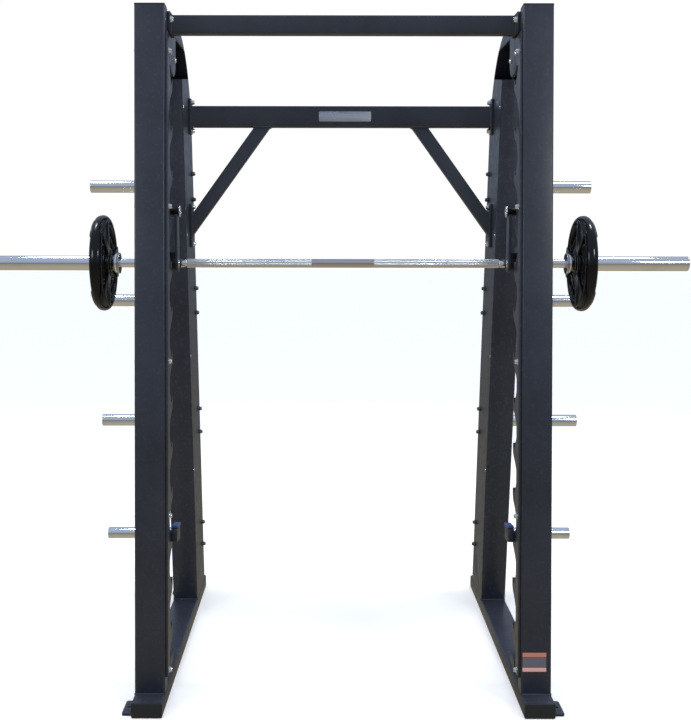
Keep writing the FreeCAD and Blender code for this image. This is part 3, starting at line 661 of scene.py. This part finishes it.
def make_frame():
    refined("posts", big=longer_than(1.0), big_width=0.006)
    refined("base_tubes", big=longer_than(1.0), big_width=0.005)
    refined("base_end_caps", 0.0025, 4)
    refined("post_caps", 0.003, 4)
    refined("front_crossbar", big=longer_than(0.9))
    refined("rear_crossbar", big=longer_than(0.9))
    refined("rear_braces", big=longer_than(0.3), big_width=0.004)
    refined("top_tubes", 0, big=tube_corner, big_width=0.005)
    refined("tower_channels", 0.0004, 1, big=tower_corner, big_width=0.005)
    refined("hoods", 0.0004, 1, big=tower_corner, big_width=0.005)
    for node, width in (("tower_front_panels", 0.0005), ("catch_plates", 0.0006), ("rod_hangers", 0.0008),
                        ("peg_flanges", 0.0012), ("floor_tabs", 0.0008), ("rod_feet", 0.002),
                        ("rod_head_blocks", 0.0015), ("pulley_hangers", 0.0005), ("nameplate", 0.0004),
                        ("label_sheet", 0)):
        refined(node, width)


# ---- fasteners ----
WASHER_THICKNESS = 0.0014
SMALLEST_WASHERED = 0.006
SCREW_RADIUS = 0.0045


def button_bolt(base, axis, radius, height, shank=0.0):
    """A button head with a hexagon socket that stands on a face, with its shank behind."""
    socket = radius * 0.5
    outline = [(-shank, 0), (-shank, radius * 0.55), (0, radius * 0.55)] if shank else [(0, 0)]
    outline += softened([(0, radius), (height * 0.35, radius, height * 0.15),
                         (height, radius * 0.7, height * 0.5), (height, socket * 1.1)])
    outline += [(height, socket, 1), (height * 0.4, socket, 1), (height * 0.4, 0)]
    return turned(outline, base, axis, 24)


def washer(base, axis, inner, outer, thickness=WASHER_THICKNESS):
    bevel = thickness * 0.35
    outline = softened([(0, inner), (0, outer, bevel), (thickness, outer, bevel), (thickness, inner)], 2)
    return turned(outline, base, axis, 36, closed=True)


def make_bolts():
    """Socket bolts on washers, one for each solid of the parts that hold them."""
    for node in ("catch_plate_bolts", "crossbar_bolts", "hanger_bolts", "peg_bolts", "panel_screws"):
        shapes = []
        for box in solids(node):
            near, far = sorted((abs(box[0].x), abs(box[1].x)))
            outward = near > (SIDE_INNER + SIDE_OUTER) / 2
            base = near if outward else min(far, SIDE_INNER)
            height = far - near if outward else base - near
            axis = X_AXIS * side_of(box) * (1 if outward else -1)
            centre = middle(box)
            centre.x = side_of(box) * base
            radius = (box[1].z - box[0].z) / 2
            shapes.append(button_bolt(centre, axis, radius, height, far - base))
            if radius > SMALLEST_WASHERED:
                shapes.append(washer(centre, axis, radius * 0.9, radius * 1.28))
        stand_in(node, shapes, material=MATERIAL["bolt_steel"] if node == "peg_bolts" else None)
    shapes = []
    for box in solids("collar_screws"):
        seat = Vector((middle(box).x, box[1].y, middle(box).z))
        shapes.append(button_bolt(seat, -Y_AXIS, SCREW_RADIUS, box[1].y - box[0].y))
    stand_in("collar_screws", shapes)


# ---- bar, sleeves and latches ----
SHAFT_RADIUS = 0.015
SHAFT_HALF = 1.165
KNURL_START = 0.106
KNURL_END = 0.530
NECK_RADIUS = 0.0105
KNURL_EDGE = 0.0008
KNURL_GAP = 0.0002
KNURL_AROUND = 72
KNURL_DEPTH = 0.0004


def knurl(start, end):
    """A band of diamond points round the shaft, from one X to another."""
    step = math.tau * SHAFT_RADIUS / KNURL_AROUND
    rows = round((end - start) / step)
    inner = SHAFT_RADIUS - 3 * KNURL_DEPTH
    valley = SHAFT_RADIUS - KNURL_DEPTH
    levels = [start, start] + [start + (end - start) * row / rows for row in range(1, rows)] + [end, end]
    vertices = []
    for row, x in enumerate(levels):
        for index in range(KNURL_AROUND):
            turn = math.tau * index / KNURL_AROUND
            reach = SHAFT_RADIUS if (row + index) % 2 else valley
            if row in (0, len(levels) - 1):
                reach = inner
            elif row in (1, len(levels) - 2):
                reach = valley
            vertices.append((x, BAR.y + reach * math.cos(turn), BAR.z + reach * math.sin(turn)))
    faces = []
    for row in range(len(levels)):
        above = (row + 1) % len(levels)
        for index in range(KNURL_AROUND):
            following = (index + 1) % KNURL_AROUND
            corners = [row * KNURL_AROUND + index, row * KNURL_AROUND + following,
                       above * KNURL_AROUND + following, above * KNURL_AROUND + index]
            if (row + index) % 2:
                corners = corners[1:] + corners[:1]
            faces += [(corners[0], corners[1], corners[2]), (corners[0], corners[2], corners[3])]
    return vertices, faces


def make_bar():
    seat = (0, BAR.y, BAR.z)
    groove = SHAFT_RADIUS - 2 * KNURL_DEPTH
    lever = min(abs(corner.x) for box in solids("latch_levers") for corner in box)
    half = softened([(SHAFT_HALF, 0), (SHAFT_HALF, SHAFT_RADIUS, 0.001), (lever - 0.0002, SHAFT_RADIUS),
                     (lever - 0.0002, NECK_RADIUS), (lever - 0.0015, NECK_RADIUS),
                     (lever - 0.0095, SHAFT_RADIUS, 0.002), (KNURL_END + KNURL_EDGE, SHAFT_RADIUS, 0.0004),
                     (KNURL_END, groove), (KNURL_START, groove),
                     (KNURL_START - KNURL_EDGE, SHAFT_RADIUS, 0.0004), (0, SHAFT_RADIUS)])
    shaft = turned(mirrored_outline(half[:-1]), seat, X_AXIS, 96)
    stand_in("bar_shaft", [shaft], material=MATERIAL["bar_chrome"])
    near, far = KNURL_START + KNURL_GAP, KNURL_END - KNURL_GAP
    bands = [knurl(near, far), knurl(-far, -near)]
    piece("bar_knurling", bands, "bar", "chrome", angle=0, material=MATERIAL["knurl"])


def make_latches():
    """Levers, rollers with end discs, and the clamps that hold the levers on the bar."""
    refined("latch_levers", 0.0014, 3)
    refined("latch_collars", 0.0016, 3)
    rollers = []
    for box in solids("latch_pins"):
        near, far = sorted((abs(box[0].x), abs(box[1].x)))
        radius = (box[1].z - box[0].z) / 2
        lever = max(abs(corner.x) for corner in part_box("latch_levers"))
        waist = (lever + far) / 2
        outline = softened([(near, 0), (near, radius * 0.8), (near + 0.001, radius, 0.001), (lever, radius),
                            (waist - 0.004, radius, 0.001), (waist - 0.0025, radius * 0.93, 0.001),
                            (waist + 0.0025, radius * 0.93, 0.001), (waist + 0.004, radius, 0.001),
                            (far, radius, 0.0025), (far, radius * 0.35, 0.001), (far - 0.003, radius * 0.3),
                            (far - 0.003, 0)])
        centre = middle(box)
        rollers.append(turned(outline, (0, centre.y, centre.z), X_AXIS * side_of(box), 48))
    stand_in("latch_pins", rollers)
    discs = []
    for box in solids("latch_discs"):
        near, far = sorted((abs(box[0].x), abs(box[1].x)))
        radius = (box[1].z - box[0].z) / 2
        outline = softened([(far, 0), (far, radius, 0.0012), (near + 0.001, radius, 0.0025),
                            (near, radius * 0.82, 0.001), (near, radius * 0.5, 0.0005)])
        outline += softened([(near, radius * 0.5), (near + 0.001, radius * 0.48, 0.0004),
                             (near + 0.001, radius * 0.24)])
        outline += [(near + 0.001, radius * 0.22, 1), (near + 0.004, radius * 0.22, 1), (near + 0.004, 0)]
        centre = middle(box)
        discs.append(turned(outline, (0, centre.y, centre.z), X_AXIS * side_of(box), 60))
    stand_in("latch_discs", discs)


SLEEVE_WALL = 0.003
COLLAR_BORE = 0.0162
FLANGE_WIDTH = 0.0045
CAP_RECESS = 0.0012


def make_sleeves():
    """Rotating sleeves: an inner flange, a collar, a bored tube and a bolted end cap."""
    for side, sign in SIDES.items():
        parts = sorted(solids(side + "_sleeve"), key=lambda box: abs(middle(box).x))
        collar_low, collar_high = sorted(abs(corner.x) for corner in parts[0])
        tip = max(abs(corner.x) for corner in parts[1])
        radius = (parts[1][1].z - parts[1][0].z) / 2
        flange = (parts[0][1].z - parts[0][0].z) / 2
        neck = flange - 0.003
        bore = radius - SLEEVE_WALL
        lip = collar_low + FLANGE_WIDTH
        outline = softened([(collar_low, COLLAR_BORE), (collar_low, flange, 0.0016), (lip, flange, 0.0016),
                            (lip, neck - 0.0015, 0.0008), (lip + 0.0025, neck - 0.0015, 0.0008),
                            (lip + 0.0035, neck, 0.0008), (collar_high, neck, 0.0022),
                            (collar_high, radius + 0.0004, 0.001), (collar_high + 0.002, radius, 0.001),
                            (tip, radius, 0.0008), (tip, bore), (collar_high, bore),
                            (collar_high, COLLAR_BORE)])
        axis = X_AXIS * sign
        seat = (0, BAR.y, BAR.z)
        stand_in(side + "_sleeve", [turned(outline, seat, axis, 128, closed=True)])
        near, far = sorted(abs(corner.x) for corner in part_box(side + "_sleeve_cap"))
        floor = far - CAP_RECESS
        outline = softened([(near, 0), (near, radius, 0.0003), (far, radius, 0.0032),
                            (far, radius * 0.72, 0.0008), (floor, radius * 0.69, 0.0005), (floor, 0)])
        bolt = button_bolt(Vector(seat) + axis * floor, axis, 0.008, 0.0038)
        stand_in(side + "_sleeve_cap", [turned(outline, seat, axis, 96), bolt])


# ---- weight plates ----
GRIP_MIDDLE = 0.109
GRIP_HALF = 0.017
GRIP_SPREAD = math.radians(26)
GRIP_ANGLES = [math.radians(angle) for angle in (66, 186, 306)]
RECESS = 0.006
RIM_INNER = 0.140
BOSS_RADIUS = 0.050
LIP_RADIUS = 0.0045
CROWN = 0.0155
LAND_HALF = math.radians(21)
LAND_RADII = (0.044, 0.1485)
LAND_HEIGHT = 0.004
HUB_RADIUS = 0.034
HUB_BORE = 0.0251


def on_plate(x, radius, turn):
    """A point of a weight plate: the turn runs from the rear up and over to the front."""
    centre = Vector((x, BAR.y, BAR.z))
    return centre + POST_BACK * radius * math.cos(turn) + POST_UP * radius * math.sin(turn)


def slot_outline(x, angle, margin=0.0, steps=22):
    """The edge of a curved hand slot with round ends, widened by a margin."""
    half = GRIP_HALF + margin
    points = []
    for index in range(steps + 1):
        points.append(on_plate(x, GRIP_MIDDLE + half, angle - GRIP_SPREAD + 2 * GRIP_SPREAD * index / steps))
    points += slot_end(x, angle + GRIP_SPREAD, half, 1)
    for index in range(steps + 1):
        points.append(on_plate(x, GRIP_MIDDLE - half, angle + GRIP_SPREAD - 2 * GRIP_SPREAD * index / steps))
    points += slot_end(x, angle - GRIP_SPREAD, half, -1)
    return points


def slot_end(x, turn, half, way, steps=12):
    centre = on_plate(x, GRIP_MIDDLE, turn)
    outward = on_plate(0, 1, turn) - on_plate(0, 0, turn)
    onward = on_plate(0, 1, turn + math.pi / 2) - on_plate(0, 0, turn)
    points = []
    for index in range(1, steps):
        swing = math.pi * index / steps
        points.append(centre + (outward * math.cos(swing) + onward * math.sin(swing)) * half * way)
    return points


def land_outline(x, angle, inset, steps=16):
    """The edge of the raised land between two hand slots."""
    inner, outer = LAND_RADII[0] + inset, LAND_RADII[1] - inset
    points = []
    for radius, way in ((outer, 1), (inner, -1)):
        half = LAND_HALF - inset / radius
        for index in range(steps + 1):
            points.append(on_plate(x, radius, angle - way * half + way * 2 * half * index / steps))
    return points


def stacked(rings):
    """A closed shape through rings of the same number of points."""
    count = len(rings[0])
    vertices = [point for ring in rings for point in ring]
    faces = [tuple(range(count)), tuple(range(count * (len(rings) - 1), count * len(rings)))]
    for level in range(len(rings) - 1):
        for index in range(count):
            following = (index + 1) % count
            low, high = level * count, (level + 1) * count
            faces.append((low + index, low + following, high + following, high + index))
    return vertices, faces


def make_weights():
    """Rubber plates: a crowned rim, a recessed web with three lipped hand slots, raised lands and a hub."""
    for side, sign in SIDES.items():
        rubber = side + "_weight_rubber"
        hub_low, hub_high = sorted(abs(corner.x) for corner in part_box(side + "_weight_core"))
        low, high = sorted(abs(corner.x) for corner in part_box(rubber))
        radius = (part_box(rubber)[1].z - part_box(rubber)[0].z) / 2
        rim_low, rim_high = low + LAND_HEIGHT, high - LAND_HEIGHT
        seat = (0, BAR.y, BAR.z)
        axis = X_AXIS * sign
        web, far_web = rim_low + RECESS, rim_high - RECESS
        section = [(low, HUB_RADIUS), (low, BOSS_RADIUS, 0.003), (web, BOSS_RADIUS + 0.004, 0.003),
                   (web, RIM_INNER - 0.004, 0.004), (rim_low, RIM_INNER + 0.002, 0.003),
                   (rim_low, radius - CROWN)]
        section = softened(section, 6)
        half = (rim_high - rim_low) / 2
        for step in range(1, 11):
            turn = math.pi / 2 * step / 10
            section.append((rim_low + half - half * math.cos(turn), radius - CROWN + CROWN * math.sin(turn)))
        section += [(low + high - along, across) for along, across in reversed(section[:-1])]
        body = joined("body", [turned(section, seat, axis, 144, closed=True)])
        cutters = [stacked([slot_outline(sign * x, angle) for x in (low - 0.002, high + 0.002)])
                   for angle in GRIP_ANGLES]
        body = cut(body, cutters)
        work = bmesh.new()
        work.from_mesh(body)
        extras = []
        for angle in GRIP_ANGLES:
            for floor in (web, far_web):
                path = slot_outline(sign * floor, angle, LIP_RADIUS * 0.6, 40)
                extras.append(swept(path, LIP_RADIUS, True, sides=12))
            for way, floor, face in ((1, web, low), (-1, far_web, high)):
                levels = ((floor + way * 0.002, 0), (face + way * 0.0025, 0), (face + way * 0.0007, 0.0007),
                          (face, 0.0026))
                extras.append(stacked([land_outline(sign * x, angle + math.pi / 3, inset)
                                       for x, inset in levels]))
        added = joined("extras", extras)
        work.from_mesh(added)
        body.clear_geometry()
        work.to_mesh(body)
        work.free()
        smooth(body, 30)
        made = store(rubber + "_finish", body, BODY[rubber], SLOT[rubber])
        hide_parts(rubber)
        bore = HUB_BORE
        ledge = hub_low + 0.0008
        outline = softened([(hub_low, bore), (hub_low, bore + 0.0042, 0.0006),
                            (ledge, bore + 0.0048, 0.0004), (ledge, HUB_RADIUS)])
        outline += [(hub_low + hub_high - along, across) for along, across in reversed(outline)]
        stand_in(side + "_weight_core", [turned(outline, seat, axis, 96, closed=True)])


# ---- storage pegs, guide rods, carriages, stops ----
def make_pegs():
    shapes = []
    for box in solids("storage_pegs"):
        near, far = sorted((abs(box[0].x), abs(box[1].x)))
        radius = (box[1].z - box[0].z) / 2
        outline = softened([(near, 0), (near, radius), (far, radius, 0.0035), (far, radius * 0.86, 0.0008),
                            (far - 0.0018, radius * 0.82, 0.0008), (far - 0.0018, radius * 0.3, 0.0006),
                            (far - 0.0032, radius * 0.26, 0.0004), (far - 0.0032, 0)])
        centre = middle(box)
        shapes.append(turned(outline, (0, centre.y, centre.z), X_AXIS * side_of(box), 96))
    stand_in("storage_pegs", shapes)


def make_rods():
    """Guide rods with chamfered ends and the rubber bumpers at their feet."""
    shapes = []
    for box in solids("guide_rods"):
        radius = (box[1].x - box[0].x) / 2
        foot, head = bar_ends(box, radius, POST_UP)
        length = (head - foot).length
        outline = softened([(0, 0), (0, radius, 0.0015), (length, radius, 0.0015), (length, 0)])
        shapes.append(turned(outline, foot, POST_UP, 96))
    stand_in("guide_rods", shapes)
    shapes = []
    for box in solids("rod_bumpers"):
        radius = (box[1].x - box[0].x) / 2
        foot, head = bar_ends(box, radius, POST_UP)
        length = (head - foot).length
        waist = radius * 0.74
        bore = SHAFT_RADIUS + 0.0001
        outline = softened([(0, bore), (0, radius, 0.004), (length * 0.4, radius, 0.004),
                            (length * 0.42, waist, 0.003), (length * 0.58, waist, 0.003),
                            (length * 0.6, radius, 0.004), (length, radius, 0.004), (length, bore)])
        shapes.append(turned(outline, foot, POST_UP, 72, closed=True))
    stand_in("rod_bumpers", shapes)


WIPER_BORE = 0.0152
WIPER_RADIUS = 0.0215


def make_carriages():
    """Carriage housings with wiper rings round the guide rods."""
    refined("carriage_housings", 0.002, 3)
    refined("cable_lugs", 0.001, 2)
    wipers = []
    wiper = softened([(0, WIPER_BORE), (0, WIPER_RADIUS), (0.002, WIPER_RADIUS, 0.001),
                      (0.0055, 0.0172, 0.001), (0.0055, WIPER_BORE)])
    rods = {side_of(box): bar_ends(box, SHAFT_RADIUS, POST_UP)[0] for box in solids("guide_rods")}
    for box in solids("carriage_housings"):
        side = side_of(box)
        foot = rods[side]
        half = (carriage_height(box) - 0.0002) / 2
        along = (middle(box) - foot).dot(POST_UP)
        for way in (1, -1):
            base = foot + POST_UP * (along + way * half)
            wipers.append(turned(wiper, base, POST_UP * way, 60, closed=True))
    piece("rod_wipers", wipers, "bar_carriage", "plate_rubber")


def carriage_height(box):
    """Length along the post of a leaning square block, from its box."""
    dy, dz = box[1].y - box[0].y, box[1].z - box[0].z
    s, c = abs(POST_UP.y), POST_UP.z
    return (dz * c - dy * s) / (c * c - s * s)


def make_stops():
    for side in SIDES:
        refined(side + "_stop_body", 0.0015, 3)
        refined(side + "_stop_pad", 0.0035, 4)


# ---- counterbalance ----
CABLE_RADIUS = 0.0025
PULLEY_AXLE = 0.0061


def make_cables():
    """Cables: the free runs as swept tubes along their parts, and the run over the pulleys."""
    for node, up, moving in (("cable_front_runs", POST_UP, "bar_carriage"),
                             ("cable_rear_runs", TOWER_UP, "counterweights")):
        shapes = []
        for box in solids(node):
            foot, head = bar_ends(box, CABLE_RADIUS, up)
            shapes.append(swept(resampled([head, foot], 0.03), CABLE_RADIUS, sides=16))
        mesh = joined(node + "_finish", shapes)
        mesh.materials.append(MATERIAL[SLOT[node]])
        made = bpy.data.objects.new(node + "_finish", mesh)
        bpy.context.scene.collection.objects.link(made)
        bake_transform(made)
        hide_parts(node)
    refined("cable_top_runs", 0)
    refined("counterweights", 0.002, 3)
    refined("cable_clamps", 0.0008, 2)


def make_pulleys():
    for node in ("front_pulleys", "rear_pulleys"):
        wheels = []
        hubs = []
        for box in solids(node):
            half = (box[1].x - box[0].x) / 2
            rim = (box[1].z - box[0].z) / 2
            section = [(-half, PULLEY_AXLE), (-half, 0.0145, 0.001), (-half + 0.004, 0.0155, 0.001),
                       (-half + 0.004, rim * 0.68, 0.001), (-half, rim * 0.70, 0.001), (-half, rim, 0.001),
                       (-half * 0.62, rim, 0.0006), (-half * 0.36, rim - 0.0072, 0.0022)]
            section += [(-along, *rest) for along, *rest in reversed(section)]
            wheels.append(turned(softened(section), middle(box), X_AXIS, 96, closed=True))
            for way in (1, -1):
                face = middle(box) + X_AXIS * way * half * 0.98
                hubs.append(washer(face, X_AXIS * way, PULLEY_AXLE, 0.0125, 0.001))
        stand_in(node, wheels)
        piece(node[:-1] + "_bearings", hubs, node, "bearing_steel")


# ---- welds ----
WELD = 0.0035


def bead(path, radius, closed=False):
    """A weld bead along a path, with the ripples that its puddle leaves."""
    return swept(resampled(path, radius * 0.5, closed), radius, closed, ripple=0.08, period=3)


def corners(node, inside):
    """A part's vertices for which a test holds."""
    work = welded(node)
    found = [vertex.co.copy() for vertex in work.verts if inside(vertex.co)]
    work.free()
    return found


def long_ends(node, length):
    """The end points of a part's own straight corner edges that are longer than a length."""
    work = welded(node)
    found = [vertex.co.copy() for edge in work.edges if edge.calc_length() > length and is_corner(edge)
             for vertex in edge.verts]
    work.free()
    return found


def span(points, axis):
    values = [point[axis] for point in points]
    return min(values), max(values)


def weld_round(points, axis, radius=WELD):
    """A bead round the rectangle that encloses points which lie in a plane square to an axis."""
    first, second = [other for other in range(3) if other != axis]
    path = []
    for low_high in ((0, 0), (1, 0), (1, 1), (0, 1)):
        corner = Vector((0, 0, 0))
        corner[axis] = points[0][axis]
        corner[first] = span(points, first)[low_high[0]]
        corner[second] = span(points, second)[low_high[1]]
        path.append(corner)
    return bead(path, radius, True)


def weld_across(y, z, sign, radius=WELD):
    """A bead across a side frame."""
    return bead([(sign * SIDE_INNER, y, z), (sign * SIDE_OUTER, y, z)], radius)


def make_welds():
    shapes = []
    floor_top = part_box("base_tubes")[1].z
    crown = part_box("top_tubes")
    back_z = corners("top_tubes", lambda point: point.y < crown[0].y + 1e-5)[0].z
    back_y = crown[0].y + (crown[1].z - back_z) * POST_UP.y / POST_UP.z
    for sign in SIDES.values():
        for node in ("posts", "tower_channels"):
            foot = corners(node, lambda point: point.x * sign > 0 and abs(point.z - floor_top) < 2e-5)
            low, high = span(foot, 1)
            shapes += [weld_across(low, floor_top, sign), weld_across(high, floor_top, sign)]
            for x in (SIDE_INNER, SIDE_OUTER):
                shapes.append(bead([(sign * x, low, floor_top), (sign * x, high, floor_top)], WELD * 0.35))
        foot = corners("rod_feet", lambda point: point.x * sign > 0 and abs(point.z - floor_top) < 2e-5)
        shapes.append(weld_round(foot, 2, WELD * 0.8))
        shapes += [weld_across(crown[0].y, back_z, sign), weld_across(back_y, crown[1].z, sign, WELD * 0.5)]
        for node in ("front_crossbar", "rear_crossbar"):
            ends = [point for point in long_ends(node, 0.9) if point.x * sign > 0]
            shapes.append(weld_round(ends, 0))
        ends = [point for point in long_ends("rear_braces", 0.3) if point.x * sign > 0]
        shapes.append(weld_round([point for point in ends if abs(point.z - span(ends, 2)[1]) < 1e-4], 2))
        shapes.append(weld_round([point for point in ends
                                  if abs(abs(point.x) - max(abs(x) for x in span(ends, 0))) < 1e-4], 0))
    for low, high in solids("floor_tabs"):
        x = SIDE_OUTER * side_of((low, high))
        shapes.append(bead([(x, low.y, high.z), (x, high.y, high.z)], WELD * 0.8))
    piece("frame_welds", shapes, "frame", "frame_black", angle=60)
    rings = []
    for box in solids("storage_pegs"):
        centre = middle(box)
        centre.x = side_of(box) * min(abs(box[0].x), abs(box[1].x))
        reach = (box[1].z - box[0].z) / 2 + WELD * 0.3
        path = [centre + (Y_AXIS * math.cos(turn) + Z_AXIS * math.sin(turn)) * reach
                for turn in (math.tau * index / 90 for index in range(90))]
        rings.append(swept(path, WELD, True, ripple=0.08, period=3))
    piece("peg_welds", rings, "frame", "frame_black", angle=60)


make_stage()
make_lights()
make_camera()
for node, part in frame["nodes"].items():
    part.data.materials.clear()
    part.data.materials.append(MATERIAL[SLOT[node]])
make_frame()
make_bolts()
make_bar()
make_latches()
make_sleeves()
make_weights()
make_pegs()
make_rods()
make_carriages()
make_stops()
make_cables()
make_pulleys()
make_welds()
